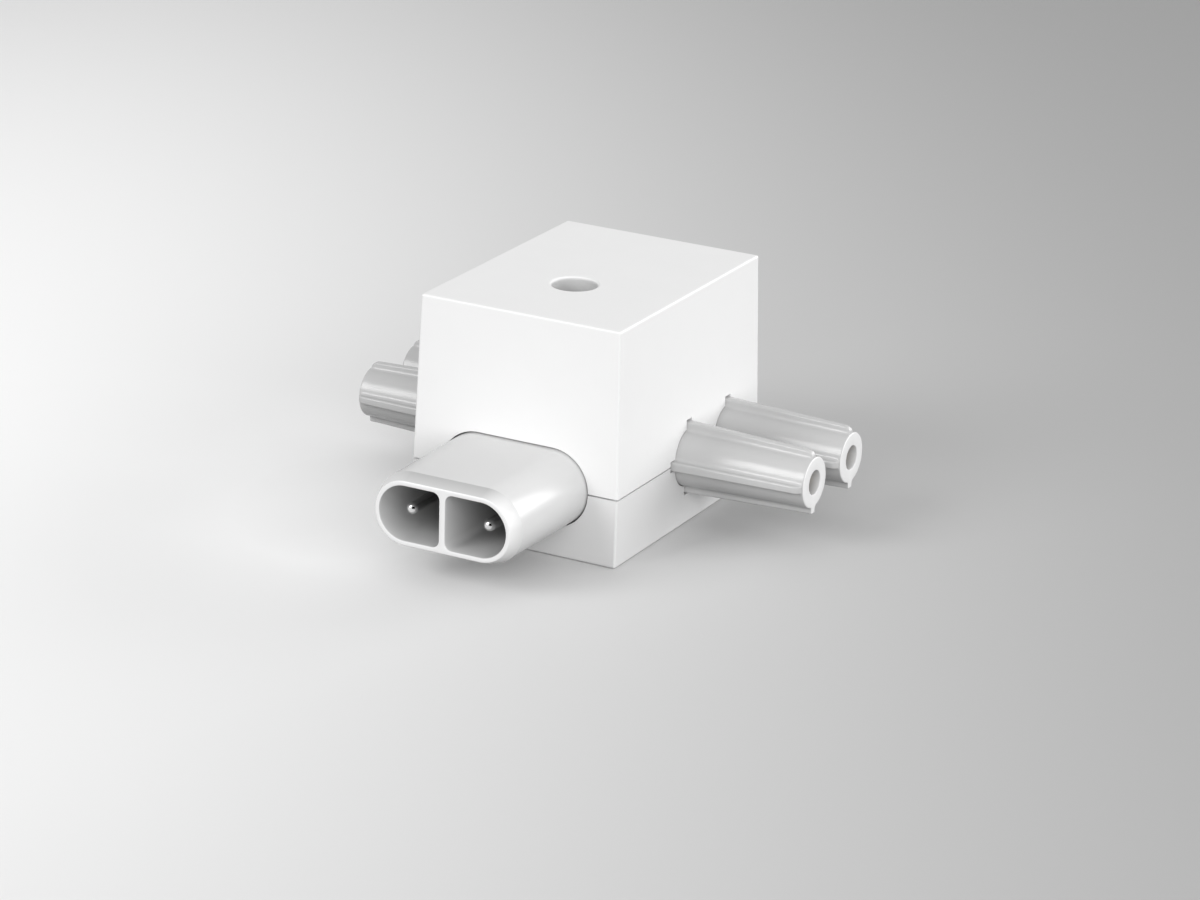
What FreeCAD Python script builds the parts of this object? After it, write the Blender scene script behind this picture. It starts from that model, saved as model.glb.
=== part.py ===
import FreeCAD, Part
import math
import os

# Track light T-connector. Millimetres.
# The frame: X runs to the right along the front face, Y to the back, Z up.
# The origin is the centre of the casing's flat base.

Vector = FreeCAD.Vector
X_AXIS = Vector(1, 0, 0)
Y_AXIS = Vector(0, 1, 0)
Z_AXIS = Vector(0, 0, 1)

# Casing, in two halves that narrow by the mould draft away from the seam
CASING_WIDTH = 30.0
CASING_DEPTH = 40.0
CASING_HEIGHT = 31.5
SEAM_Z = 9.35
DRAFT = math.radians(1.5)
WALL = 1.8
TOP_THICKNESS = 2.0
FLOOR_THICKNESS = 2.0
CASING_EDGE_RADIUS = 0.3
SEAM_GAP = 0.22
LIP_HEIGHT = 1.2
LIP_THICKNESS = 0.8
LIP_CLEARANCE = 0.1

# Contacts share one pitch, in the socket prongs and in the plug inlet
CONTACT_PITCH = 11.1
FRONT_PRONG_Y = -0.25

# Ribbed prongs, one pair on each side
PRONG_LENGTH = 18.1
PRONG_ROOT_RADIUS = 3.87
PRONG_TIP_RADIUS = 3.4
PRONG_MOUTH_RADIUS = 1.72
PRONG_MOUTH_LENGTH = 2.0
PRONG_EDGE_RADIUS = 0.25
PRONG_CLEARANCE = 0.12
RIB_ROOT_RADIUS = 4.88
RIB_TIP_RADIUS = 4.25
RIB_ROOT_WIDTH = 1.3
RIB_TIP_WIDTH = 1.0
RIB_EDGE_RADIUS = 0.2
RIB_SLOT_CLEARANCE = 0.3
RIB_ANGLES = (0, 90, 180, 270)
FLANGE_OVERHANG = 0.45
FLANGE_THICKNESS = 1.4
FLANGE_CLEARANCE = 0.1
NECK_RADIUS = 3.0
SADDLE_THICKNESS = 1.4

# Plug inlet: a shroud with two compartments and a pin in each
SHROUD_LENGTH = 18.2
SHROUD_WIDTH = 21.1
SHROUD_HEIGHT = 10.2
SHROUD_DRAFT = math.radians(0.5)
SHROUD_NOSE_LENGTH = 2.0
SHROUD_NOSE_TAPER = 0.72
SHROUD_WALL = 0.6
SHROUD_CLEARANCE = 0.2
DIVIDER_THICKNESS = 0.86
COMPARTMENT_DEPTH = 19.5
COMPARTMENT_DRAFT = math.radians(0.5)
COMPARTMENT_CORNER_RADIUS = 1.0
SHROUD_FLANGE_OVERHANG = 1.4
SHROUD_NECK_STEP = 1.5
PIN_RADIUS = 0.8
PIN_RECESS = 1.6
PIN_SHANK_RADIUS = 1.05
PIN_FIT = 0.03
PIN_COLLAR_RADIUS = 1.3
PIN_COLLAR_LENGTH = 1.0
PIN_HEAD_LENGTH = 0.5

# Socket contacts, their spring rings and the rivets at their tongues
CONTACT_TINE_RADIUS = 1.8
CONTACT_SHANK_RADIUS = 2.1
CONTACT_CLEARANCE = 0.1
CONTACT_BORE_RADIUS = 0.85
CONTACT_BORE_DEPTH = 11.0
CONTACT_TINE_LENGTH = 8.0
CONTACT_SLOT_WIDTH = 0.4
CONTACT_SLOT_LENGTH = 7.0
CONTACT_LEAD_IN = 0.4
CONTACT_COLLAR_RADIUS = 2.6
CONTACT_COLLAR_LENGTH = 0.8
TONGUE_LENGTH = 4.2
TONGUE_WIDTH = 3.0
TONGUE_THICKNESS = 0.8
RING_THICKNESS = 0.25
RING_LENGTH = 1.6
RING_SETBACK = 2.0
RING_SLIT = 0.7
RING_SLIT_ANGLE = 45
RIVET_RADIUS = 0.8
RIVET_HEAD_RADIUS = 1.35
RIVET_HEAD_LENGTH = 0.5
RIVET_FIT = 0.03

# Busbars and the plate that keeps them apart
BUSBAR_THICKNESS = 0.8
BUSBAR_WIDTH = 3.0
RUN_WIDTH = 2.4
BEND_RADIUS = 0.4
TAB_WIDTH = 3.6
TAB_MARGIN = 0.9
CROSSING_GAP = 0.7
RISER_SETBACK = 2.2
PLATE_THICKNESS = 1.2
PLATE_OVERHANG = 0.4
PLATE_CLEARANCE = 0.3
POST_RADIUS = 1.0
REAR_POST_X = 2.5

# Fixing well in the top, and the screw seat below it
WELL_Y = -5.0
WELL_RADIUS = 2.97
WELL_RIM_RADIUS = 0.4
PILLAR_WALL = 1.2
PILLAR_CLEARANCE = 0.4
SEAT_HEIGHT = 4.0
SEAT_CLEARANCE = 0.1
SCREW_HOLE_RADIUS = 1.7

# Casing screws, put in from below
SCREW_RADIUS = 1.0
SCREW_LENGTH = 12.0
SCREW_POINT_LENGTH = 1.2
SCREW_HEAD_RADIUS = 1.9
SCREW_HEAD_LENGTH = 1.3
SCREW_SOCKET_SIDES = 6
SCREW_SOCKET_RADIUS = 0.75
SCREW_SOCKET_DEPTH = 0.8
SCREW_PASS_CLEARANCE = 0.2
SCREW_PILOT_FIT = 0.02
SCREW_HEAD_SINK = 0.5
BOSS_WALL = 1.2
BOSS_CLEARANCE = 0.3
REAR_BOSS_X = 7.0
FRONT_BOSS_X = 10.5

# How near an edge has to lie to a place to be picked there
MATCH_TOLERANCE = 0.05

# Places worked out from the sizes above
WALL_X = CASING_WIDTH / 2
WALL_Y = -CASING_DEPTH / 2
REAR_PRONG_Y = FRONT_PRONG_Y + CONTACT_PITCH
PRONG_YS = {"front": FRONT_PRONG_Y, "rear": REAR_PRONG_Y}
SIDES = {"left": -1, "right": 1}
PRONG_FLANGE_RADIUS = RIB_ROOT_RADIUS + FLANGE_OVERHANG
PRONG_FLANGE_FACE = -WALL - PRONG_FLANGE_RADIUS * math.tan(DRAFT) - FLANGE_CLEARANCE
PRONG_NECK_FACE = PRONG_FLANGE_FACE - FLANGE_THICKNESS
PRONG_BACK = PRONG_NECK_FACE - SADDLE_THICKNESS - FLANGE_CLEARANCE
CHAMBER_RADIUS = CONTACT_SHANK_RADIUS + CONTACT_CLEARANCE
CONTACT_FRONT = PRONG_LENGTH - PRONG_MOUTH_LENGTH
TONGUE_START = PRONG_BACK - CONTACT_COLLAR_LENGTH
RIVET_X = TONGUE_START - TONGUE_LENGTH / 2
TONGUE_Z = SEAM_Z - CONTACT_SHANK_RADIUS
SHROUD_FLANGE_HALF_HEIGHT = SHROUD_HEIGHT / 2 + SHROUD_FLANGE_OVERHANG
SHROUD_FLANGE_FACE = WALL_Y + WALL + SHROUD_FLANGE_HALF_HEIGHT * math.tan(DRAFT) + FLANGE_CLEARANCE
SHROUD_NECK_FACE = SHROUD_FLANGE_FACE + FLANGE_THICKNESS
SHROUD_BACK = SHROUD_NECK_FACE + SADDLE_THICKNESS + FLANGE_CLEARANCE
SHROUD_RIM = WALL_Y - SHROUD_LENGTH
COMPARTMENT_FLOOR = SHROUD_RIM + COMPARTMENT_DEPTH
SHROUD_NOSE_NARROWING = (SHROUD_LENGTH - SHROUD_NOSE_LENGTH) * math.tan(SHROUD_DRAFT)
SHROUD_RIM_NARROWING = SHROUD_NOSE_NARROWING + SHROUD_NOSE_TAPER
PIN_X = CONTACT_PITCH / 2
TAB_FACE = SHROUD_BACK + PIN_COLLAR_LENGTH
TAB_BACK = TAB_FACE + BUSBAR_THICKNESS
PILLAR_RADIUS = WELL_RADIUS + PILLAR_WALL
BOSS_RADIUS = SCREW_RADIUS + SCREW_PASS_CLEARANCE + BOSS_WALL
HEAD_BORE_RADIUS = SCREW_HEAD_RADIUS + SCREW_PASS_CLEARANCE
BOSS_FOOT_RADIUS = HEAD_BORE_RADIUS + BOSS_WALL
HEAD_BORE_DEPTH = SCREW_HEAD_SINK + SCREW_HEAD_LENGTH
BOSS_FOOT_HEIGHT = HEAD_BORE_DEPTH + FLOOR_THICKNESS
FRONT_BOSS_Y = SHROUD_BACK + BOSS_CLEARANCE + BOSS_RADIUS
REAR_BOSS_Y = REAR_PRONG_Y + BUSBAR_WIDTH / 2 + BOSS_CLEARANCE + BOSS_RADIUS
BOSS_PLACES = (
    (-FRONT_BOSS_X, FRONT_BOSS_Y),
    (FRONT_BOSS_X, FRONT_BOSS_Y),
    (-REAR_BOSS_X, REAR_BOSS_Y),
    (REAR_BOSS_X, REAR_BOSS_Y),
)
BUSBAR_Z = TONGUE_Z - BUSBAR_THICKNESS
RUN_X = PILLAR_RADIUS + PILLAR_CLEARANCE + RUN_WIDTH / 2
CROSSING_Z = SEAM_Z + PIN_COLLAR_RADIUS + CROSSING_GAP
FRONT_STRIP_Y = WELL_Y + PILLAR_RADIUS + PILLAR_CLEARANCE
FRONT_STRIP_END = FRONT_STRIP_Y + BUSBAR_WIDTH
REAR_STRIP_Y = REAR_PRONG_Y - BUSBAR_WIDTH / 2
RISER_Y = REAR_STRIP_Y - RISER_SETBACK
PLATE_Z = CROSSING_Z - PLATE_THICKNESS
PLATE_HALF_WIDTH = RUN_X + RUN_WIDTH / 2 + PLATE_OVERHANG
PLATE_FRONT = TAB_BACK + PIN_HEAD_LENGTH + PLATE_CLEARANCE
PLATE_BACK = RISER_Y - BEND_RADIUS - PLATE_CLEARANCE
FRONT_POST_Y = WELL_Y - PILLAR_RADIUS - PLATE_CLEARANCE - POST_RADIUS
REAR_POST_Y = (FRONT_STRIP_END + PLATE_BACK) / 2


def box(low, high):
    """A block between two opposite corners, each given as (x, y, z)."""
    corner = Vector(*low)
    size = Vector(*high) - corner
    return Part.makeBox(size.x, size.y, size.z, corner)


def cylinder(radius, start, end, axis, centre):
    """A rod along an axis through a centre, from one distance along it to another."""
    return Part.makeCylinder(radius, end - start, centre + axis * start, axis)


def merged(first, others):
    """One solid from shapes that overlap or meet, with no seams left between them."""
    return first.fuse(list(others)).removeSplitter()


def rectangle(half_width, half_depth, z):
    """A closed level rectangle about the Z axis."""
    corners = [
        Vector(-half_width, -half_depth, z),
        Vector(half_width, -half_depth, z),
        Vector(half_width, half_depth, z),
        Vector(-half_width, half_depth, z),
    ]
    return Part.makePolygon(corners + corners[:1])


def drafted_block(inset, z_start, z_end):
    """The casing's outline set in by a distance, narrowing by the draft away from the seam."""
    sections = []
    for z in (z_start, z_end):
        narrowing = inset + abs(z - SEAM_Z) * math.tan(DRAFT)
        sections.append(rectangle(CASING_WIDTH / 2 - narrowing, CASING_DEPTH / 2 - narrowing, z))
    return Part.makeLoft(sections, True, True)


def upright_block(inset, z_start, z_end):
    """The casing's outline at the seam set in by a distance, with upright sides."""
    half_width = CASING_WIDTH / 2 - inset
    half_depth = CASING_DEPTH / 2 - inset
    return box((-half_width, -half_depth, z_start), (half_width, half_depth, z_end))


def is_level_at(edge, z):
    """True for an edge that lies in the level plane at z."""
    return all(abs(vertex.Z - z) < MATCH_TOLERANCE for vertex in edge.Vertexes)


def casing_block(z_start, z_end):
    """A drafted block with its upright edges and the edges of its far face rounded."""
    block = drafted_block(0, z_start, z_end)
    edges = [edge for edge in block.Edges if not is_level_at(edge, z_start)]
    return block.makeFillet(CASING_EDGE_RADIUS, edges)


def prong_slots():
    """What the casing walls leave free for the four prongs, their ribs included."""
    slots = []
    radius = PRONG_ROOT_RADIUS + PRONG_CLEARANCE
    reach = RIB_ROOT_RADIUS + RIB_SLOT_CLEARANCE
    half_rib = RIB_ROOT_WIDTH / 2 + PRONG_CLEARANCE
    for side in SIDES.values():
        for y in PRONG_YS.values():
            inner = side * (WALL_X - WALL * 2)
            outer = side * (WALL_X + WALL)
            low, high = sorted((inner, outer))
            slots.append(cylinder(radius, low, high, X_AXIS, Vector(0, y, SEAM_Z)))
            slots.append(box((low, y - reach, SEAM_Z - half_rib), (high, y + reach, SEAM_Z + half_rib)))
            slots.append(box((low, y - half_rib, SEAM_Z - reach), (high, y + half_rib, SEAM_Z + reach)))
    return slots


def rounded_section(half_width, half_height, y):
    """A closed upright outline across the Y axis, with a half circle at each end."""
    centre = half_width - half_height
    bottom_left = Vector(-centre, y, SEAM_Z - half_height)
    bottom_right = Vector(centre, y, SEAM_Z - half_height)
    top_left = Vector(-centre, y, SEAM_Z + half_height)
    top_right = Vector(centre, y, SEAM_Z + half_height)
    edges = [
        Part.LineSegment(bottom_left, bottom_right).toShape(),
        Part.Arc(bottom_right, Vector(half_width, y, SEAM_Z), top_right).toShape(),
        Part.LineSegment(top_right, top_left).toShape(),
        Part.Arc(top_left, Vector(-half_width, y, SEAM_Z), bottom_left).toShape(),
    ]
    return Part.Wire(edges)


def rounded_bar(growth, y_start, y_end):
    """A straight bar of the shroud's section at the casing wall, grown all round by a distance."""
    section = rounded_section(SHROUD_WIDTH / 2 + growth, SHROUD_HEIGHT / 2 + growth, y_start)
    return Part.Face(section).extrude(Y_AXIS * (y_end - y_start))


def shroud_slot():
    """What the casing's front wall leaves free for the shroud."""
    return rounded_bar(SHROUD_CLEARANCE, WALL_Y - WALL, WALL_Y + WALL * 2)


def upper_casing():
    """The tall cover, with the fixing well's pillar and the screw columns hanging from its top."""
    bottom = SEAM_Z + SEAM_GAP / 2
    ceiling = CASING_HEIGHT - TOP_THICKNESS
    land = WALL - LIP_THICKNESS - LIP_CLEARANCE
    shell = casing_block(bottom, CASING_HEIGHT).cut(
        [
            drafted_block(WALL, bottom, ceiling),
            upright_block(land, bottom, SEAM_Z + LIP_HEIGHT + LIP_CLEARANCE),
        ]
    )
    columns = [
        cylinder(BOSS_RADIUS, SEAM_Z, ceiling, Z_AXIS, Vector(x, y, 0))
        for x, y in BOSS_PLACES
    ]
    well_centre = Vector(0, WELL_Y, 0)
    pillar = cylinder(PILLAR_RADIUS, SEAT_HEIGHT + SEAT_CLEARANCE, ceiling, Z_AXIS, well_centre)
    pilots = [
        cylinder(SCREW_RADIUS + SCREW_PILOT_FIT, SEAM_Z, pilot_end(), Z_AXIS, Vector(x, y, 0))
        for x, y in BOSS_PLACES
    ]
    well = cylinder(WELL_RADIUS, 0, CASING_HEIGHT, Z_AXIS, well_centre)
    openings = prong_slots() + [shroud_slot()]
    body = merged(shell.cut(openings), columns + [pillar]).cut(pilots + [well])
    rim = [edge for edge in body.Edges if is_well_rim(edge)]
    return body.makeFillet(WELL_RIM_RADIUS, rim)


def is_well_rim(edge):
    """True for the round edge where the fixing well meets the top."""
    bounds = edge.BoundBox
    is_at_well = abs(bounds.Center.y - WELL_Y) < MATCH_TOLERANCE and bounds.XLength < PILLAR_RADIUS * 2
    return is_level_at(edge, CASING_HEIGHT) and is_at_well


def pilot_end():
    """The top of the blind holes that the casing screws cut their thread in."""
    return SCREW_HEAD_SINK + SCREW_HEAD_LENGTH + SCREW_LENGTH + SCREW_POINT_LENGTH


def prong_saddles():
    """Upright ribs behind the prongs' flanges, with a round notch for each neck."""
    saddles = []
    face = WALL_X + PRONG_NECK_FACE - FLANGE_CLEARANCE / 2
    front = FRONT_PRONG_Y - PRONG_FLANGE_RADIUS
    back = REAR_PRONG_Y + PRONG_FLANGE_RADIUS
    for side in SIDES.values():
        low, high = sorted((side * (face - SADDLE_THICKNESS), side * face))
        saddle = box((low, front, 0), (high, back, SEAM_Z))
        notches = [
            cylinder(NECK_RADIUS + PRONG_CLEARANCE, low, high, X_AXIS, Vector(0, y, SEAM_Z))
            for y in PRONG_YS.values()
        ]
        saddles.append(saddle.cut(notches))
    return saddles


def shroud_saddle():
    """An upright rib behind the shroud's flange, with a notch for its neck."""
    face = SHROUD_NECK_FACE + FLANGE_CLEARANCE / 2
    half_width = CASING_WIDTH / 2 - WALL / 2
    saddle = box((-half_width, face, 0), (half_width, face + SADDLE_THICKNESS, SEAM_Z))
    return saddle.cut(rounded_bar(PRONG_CLEARANCE - SHROUD_NECK_STEP, face, face + SADDLE_THICKNESS))


def plate_posts():
    """Posts on the floor that carry the insulating plate."""
    places = (
        (0, FRONT_POST_Y),
        (-REAR_POST_X, REAR_POST_Y),
        (REAR_POST_X, REAR_POST_Y),
    )
    return [cylinder(POST_RADIUS, 0, PLATE_Z, Z_AXIS, Vector(x, y, 0)) for x, y in places]


def lower_casing():
    """The shallow tray: walls, lip, saddles, screw bosses, posts and the seat of the fixing screw."""
    top = SEAM_Z - SEAM_GAP / 2
    block = casing_block(top, 0)
    tray = block.cut(drafted_block(WALL, top, FLOOR_THICKNESS))
    lip_inset = WALL - LIP_THICKNESS
    lip = upright_block(lip_inset, top - LIP_HEIGHT, SEAM_Z + LIP_HEIGHT).cut(
        upright_block(WALL, 0, CASING_HEIGHT)
    )
    saddles = [saddle.common(upright_block(WALL / 2, 0, SEAM_Z)) for saddle in prong_saddles()]
    shroud_rest = shroud_saddle().common(upright_block(WALL / 2, 0, SEAM_Z))
    walls = merged(tray, [lip]).cut(prong_slots() + [shroud_slot()])
    seat = cylinder(PILLAR_RADIUS, 0, SEAT_HEIGHT, Z_AXIS, Vector(0, WELL_Y, 0))
    bosses = []
    bores = [cylinder(SCREW_HOLE_RADIUS, 0, SEAT_HEIGHT, Z_AXIS, Vector(0, WELL_Y, 0))]
    for x, y in BOSS_PLACES:
        centre = Vector(x, y, 0)
        foot = cylinder(BOSS_FOOT_RADIUS, 0, BOSS_FOOT_HEIGHT, Z_AXIS, centre)
        bosses.append(foot.common(block))
        bosses.append(cylinder(BOSS_RADIUS, 0, SEAM_Z, Z_AXIS, centre))
        bores.append(cylinder(SCREW_RADIUS + SCREW_PASS_CLEARANCE, 0, SEAM_Z, Z_AXIS, centre))
        bores.append(cylinder(HEAD_BORE_RADIUS, 0, HEAD_BORE_DEPTH, Z_AXIS, centre))
    inside = saddles + [shroud_rest, seat] + bosses + plate_posts()
    return merged(walls, inside).cut(bores)


def rib():
    """One rib of a prong, standing up from its axis and running out along X, slightly tapered."""
    sections = []
    for x, half_width, radius in (
        (0, RIB_ROOT_WIDTH / 2, RIB_ROOT_RADIUS),
        (PRONG_LENGTH, RIB_TIP_WIDTH / 2, RIB_TIP_RADIUS),
    ):
        corners = [
            Vector(x, -half_width, 0),
            Vector(x, half_width, 0),
            Vector(x, half_width, radius),
            Vector(x, -half_width, radius),
        ]
        sections.append(Part.makePolygon(corners + corners[:1]))
    outside = Part.makeLoft(sections, True, True)
    crest = [edge for edge in outside.Edges if is_crest(edge)]
    outside = outside.makeFillet(RIB_EDGE_RADIUS, crest)
    inside = box(
        (PRONG_FLANGE_FACE, -RIB_ROOT_WIDTH / 2, 0),
        (0, RIB_ROOT_WIDTH / 2, RIB_ROOT_RADIUS),
    )
    return [outside, inside]


def is_crest(edge):
    """True for the edges along a rib's outer face and at its tip."""
    return all(vertex.Z > PRONG_TIP_RADIUS for vertex in edge.Vertexes) and edge.BoundBox.XMax > 0


def prong(partner_side):
    """A socket prong along X, with the casing wall's outer face at x = 0.

    partner_side is +1 or -1 along Y, where the other prong of the pair is. The flange has a flat there.
    """
    origin = Vector(0, 0, 0)
    core = Part.makeCone(PRONG_ROOT_RADIUS, PRONG_TIP_RADIUS, PRONG_LENGTH, origin, X_AXIS)
    tip = [edge for edge in core.Edges if edge.BoundBox.XMin > PRONG_LENGTH / 2]
    core = core.makeFillet(PRONG_EDGE_RADIUS, tip)
    root = cylinder(PRONG_ROOT_RADIUS, PRONG_FLANGE_FACE, 0, X_AXIS, origin)
    flange = cylinder(PRONG_FLANGE_RADIUS, PRONG_NECK_FACE, PRONG_FLANGE_FACE, X_AXIS, origin)
    flat = (CONTACT_PITCH - FLANGE_CLEARANCE) / 2
    reach = PRONG_FLANGE_RADIUS * 2
    y_low, y_high = sorted((partner_side * flat, -partner_side * reach))
    flange = flange.common(
        box((PRONG_NECK_FACE, y_low, -reach), (PRONG_FLANGE_FACE, y_high, reach))
    )
    neck = cylinder(NECK_RADIUS, PRONG_BACK, PRONG_NECK_FACE, X_AXIS, origin)
    pieces = [root, flange, neck]
    for angle in RIB_ANGLES:
        for piece in rib():
            piece.rotate(origin, X_AXIS, angle)
            pieces.append(piece)
    body = merged(core, pieces)
    mouth = cylinder(PRONG_MOUTH_RADIUS, 0, PRONG_LENGTH, X_AXIS, origin)
    chamber = cylinder(CHAMBER_RADIUS, PRONG_BACK, CONTACT_FRONT, X_AXIS, origin)
    return body.cut([mouth, chamber])


def socket_contact():
    """A turned contact along X with a slot between its two tines, a collar and a tongue to be riveted."""
    origin = Vector(0, 0, 0)
    tines = cylinder(CONTACT_TINE_RADIUS, 0, CONTACT_FRONT, X_AXIS, origin)
    front = [edge for edge in tines.Edges if edge.BoundBox.XMin > CONTACT_FRONT / 2]
    tines = tines.makeChamfer(CONTACT_LEAD_IN, front)
    shank_end = CONTACT_FRONT - CONTACT_TINE_LENGTH
    shank = cylinder(CONTACT_SHANK_RADIUS, PRONG_BACK, shank_end, X_AXIS, origin)
    collar = cylinder(CONTACT_COLLAR_RADIUS, TONGUE_START, PRONG_BACK, X_AXIS, origin)
    tongue_end = TONGUE_START - TONGUE_LENGTH
    tongue = box(
        (tongue_end, -TONGUE_WIDTH / 2, -CONTACT_SHANK_RADIUS),
        (TONGUE_START, TONGUE_WIDTH / 2, TONGUE_THICKNESS - CONTACT_SHANK_RADIUS),
    )
    bore = cylinder(CONTACT_BORE_RADIUS, CONTACT_FRONT - CONTACT_BORE_DEPTH, CONTACT_FRONT, X_AXIS, origin)
    lead_in_radius = CONTACT_BORE_RADIUS + CONTACT_LEAD_IN
    lead_in_start = Vector(CONTACT_FRONT - CONTACT_LEAD_IN, 0, 0)
    lead_in = Part.makeCone(CONTACT_BORE_RADIUS, lead_in_radius, CONTACT_LEAD_IN, lead_in_start, X_AXIS)
    slot_start = CONTACT_FRONT - CONTACT_SLOT_LENGTH
    slot = box(
        (slot_start, -CONTACT_SLOT_WIDTH / 2, -CONTACT_SHANK_RADIUS),
        (CONTACT_FRONT, CONTACT_SLOT_WIDTH / 2, CONTACT_SHANK_RADIUS),
    )
    rivet_hole = cylinder(
        RIVET_RADIUS + RIVET_FIT, -CONTACT_SHANK_RADIUS, 0, Z_AXIS, Vector(RIVET_X, 0, 0)
    )
    return merged(tines, [shank, collar, tongue]).cut([bore, lead_in, slot, rivet_hole])


def spring_ring():
    """A split ring round the tines of a socket contact."""
    end = CONTACT_FRONT - RING_SETBACK
    start = end - RING_LENGTH
    origin = Vector(0, 0, 0)
    ring = cylinder(CONTACT_TINE_RADIUS + RING_THICKNESS, start, end, X_AXIS, origin)
    hole = cylinder(CONTACT_TINE_RADIUS, start, end, X_AXIS, origin)
    slit = box((start, -RING_SLIT / 2, 0), (end, RING_SLIT / 2, CONTACT_SHANK_RADIUS * 2))
    slit.rotate(origin, X_AXIS, RING_SLIT_ANGLE)
    return ring.cut([hole, slit])


def on_side(shape, side, y):
    """Puts a shape that was drawn along X at a casing side, pointing outwards."""
    placed = shape.copy()
    if side < 0:
        placed.rotate(Vector(0, 0, 0), Z_AXIS, 180)
    placed.translate(Vector(side * WALL_X, y, SEAM_Z))
    return placed


def shroud_section(narrowing, y):
    """The shroud's outline across the Y axis, narrower all round than at the casing wall."""
    return rounded_section(SHROUD_WIDTH / 2 - narrowing, SHROUD_HEIGHT / 2 - narrowing, y)


def shroud_body():
    """The shroud's outside: a drafted length, a nose that narrows more, a flange and a neck."""
    nose_start = shroud_section(SHROUD_NOSE_NARROWING, SHROUD_RIM + SHROUD_NOSE_LENGTH)
    rim = shroud_section(SHROUD_RIM_NARROWING, SHROUD_RIM)
    length = Part.makeLoft([shroud_section(0, WALL_Y), nose_start], True, True)
    nose = Part.makeLoft([nose_start, rim], True, True)
    inside = rounded_bar(0, WALL_Y, SHROUD_FLANGE_FACE)
    flange = rounded_bar(SHROUD_FLANGE_OVERHANG, SHROUD_FLANGE_FACE, SHROUD_NECK_FACE)
    neck = rounded_bar(-SHROUD_NECK_STEP, SHROUD_NECK_FACE, SHROUD_BACK)
    return merged(length, [nose, inside, flange, neck])


def compartment_section(inset, y):
    """The outline of the right compartment, set in by a distance: a half circle and two round corners."""
    narrowing = SHROUD_RIM_NARROWING + SHROUD_WALL + inset
    half_height = SHROUD_HEIGHT / 2 - narrowing
    outer = SHROUD_WIDTH / 2 - narrowing
    inner = DIVIDER_THICKNESS / 2 + inset
    centre = outer - half_height
    top = SEAM_Z + half_height
    bottom = SEAM_Z - half_height
    corner = COMPARTMENT_CORNER_RADIUS
    cut_back = corner * (1 - math.sqrt(1 / 2))
    bend_x = inner + cut_back
    edges = [
        Part.LineSegment(Vector(inner + corner, y, bottom), Vector(centre, y, bottom)).toShape(),
        Part.Arc(Vector(centre, y, bottom), Vector(outer, y, SEAM_Z), Vector(centre, y, top)).toShape(),
        Part.LineSegment(Vector(centre, y, top), Vector(inner + corner, y, top)).toShape(),
        Part.Arc(
            Vector(inner + corner, y, top),
            Vector(bend_x, y, top - cut_back),
            Vector(inner, y, top - corner),
        ).toShape(),
        Part.LineSegment(Vector(inner, y, top - corner), Vector(inner, y, bottom + corner)).toShape(),
        Part.Arc(
            Vector(inner, y, bottom + corner),
            Vector(bend_x, y, bottom + cut_back),
            Vector(inner + corner, y, bottom),
        ).toShape(),
    ]
    return Part.Wire(edges)


def inlet_shroud():
    """The shroud with its two compartments and the holes that hold the pins."""
    inset = COMPARTMENT_DEPTH * math.tan(COMPARTMENT_DRAFT)
    sections = [compartment_section(0, SHROUD_RIM), compartment_section(inset, COMPARTMENT_FLOOR)]
    right = Part.makeLoft(sections, True, True)
    left = right.mirror(Vector(0, 0, 0), X_AXIS)
    radius = PIN_SHANK_RADIUS + PIN_FIT
    holes = [
        cylinder(radius, COMPARTMENT_FLOOR, SHROUD_BACK, Y_AXIS, Vector(side * PIN_X, 0, SEAM_Z))
        for side in SIDES.values()
    ]
    return shroud_body().cut([right, left] + holes)


def inlet_pin(side):
    """A round-nosed pin with a thicker shank in the shroud, a collar behind it and a peened head."""
    centre = Vector(side * PIN_X, 0, SEAM_Z)
    tip_centre = SHROUD_RIM + PIN_RECESS + PIN_RADIUS
    shaft = cylinder(PIN_RADIUS, tip_centre, TAB_BACK, Y_AXIS, centre)
    tip = Part.makeSphere(PIN_RADIUS, centre + Y_AXIS * tip_centre)
    shank = cylinder(PIN_SHANK_RADIUS, COMPARTMENT_FLOOR, SHROUD_BACK, Y_AXIS, centre)
    collar = cylinder(PIN_COLLAR_RADIUS, SHROUD_BACK, TAB_FACE, Y_AXIS, centre)
    head = cylinder(PIN_COLLAR_RADIUS, TAB_BACK, TAB_BACK + PIN_HEAD_LENGTH, Y_AXIS, centre)
    return merged(shaft, [tip, shank, collar, head])


def bent_strip(points, x_centre, width):
    """A strip bent across X: the points are one face's corners, the strip lies on their left."""
    count = len(points)
    offset = []
    for index, (y, z) in enumerate(points):
        before = points[max(index - 1, 0)]
        after = points[min(index + 1, count - 1)]
        normal_y, normal_z = 0, 0
        for (y_1, z_1), (y_2, z_2) in ((before, (y, z)), ((y, z), after)):
            length = math.hypot(y_2 - y_1, z_2 - z_1)
            if length:
                normal_y = normal_y or -(z_2 - z_1) / length
                normal_z = normal_z or (y_2 - y_1) / length
        offset.append((y + normal_y * BUSBAR_THICKNESS, z + normal_z * BUSBAR_THICKNESS))
    outline = list(points) + offset[::-1]
    corners = [Vector(x_centre - width / 2, y, z) for y, z in outline]
    strip = Part.Face(Part.makePolygon(corners + corners[:1])).extrude(X_AXIS * width)
    inner_bends = []
    outer_bends = []
    for index in range(1, count - 1):
        (y_0, z_0), (y_1, z_1), (y_2, z_2) = points[index - 1:index + 2]
        turns_left = (y_1 - y_0) * (z_2 - z_1) - (z_1 - z_0) * (y_2 - y_1) > 0
        face_bend, far_bend = points[index], offset[index]
        inner_bends.append(far_bend if turns_left else face_bend)
        outer_bends.append(face_bend if turns_left else far_bend)
    strip = strip.makeFillet(BEND_RADIUS, edges_at(strip, inner_bends))
    return strip.makeFillet(BEND_RADIUS + BUSBAR_THICKNESS, edges_at(strip, outer_bends))


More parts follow.
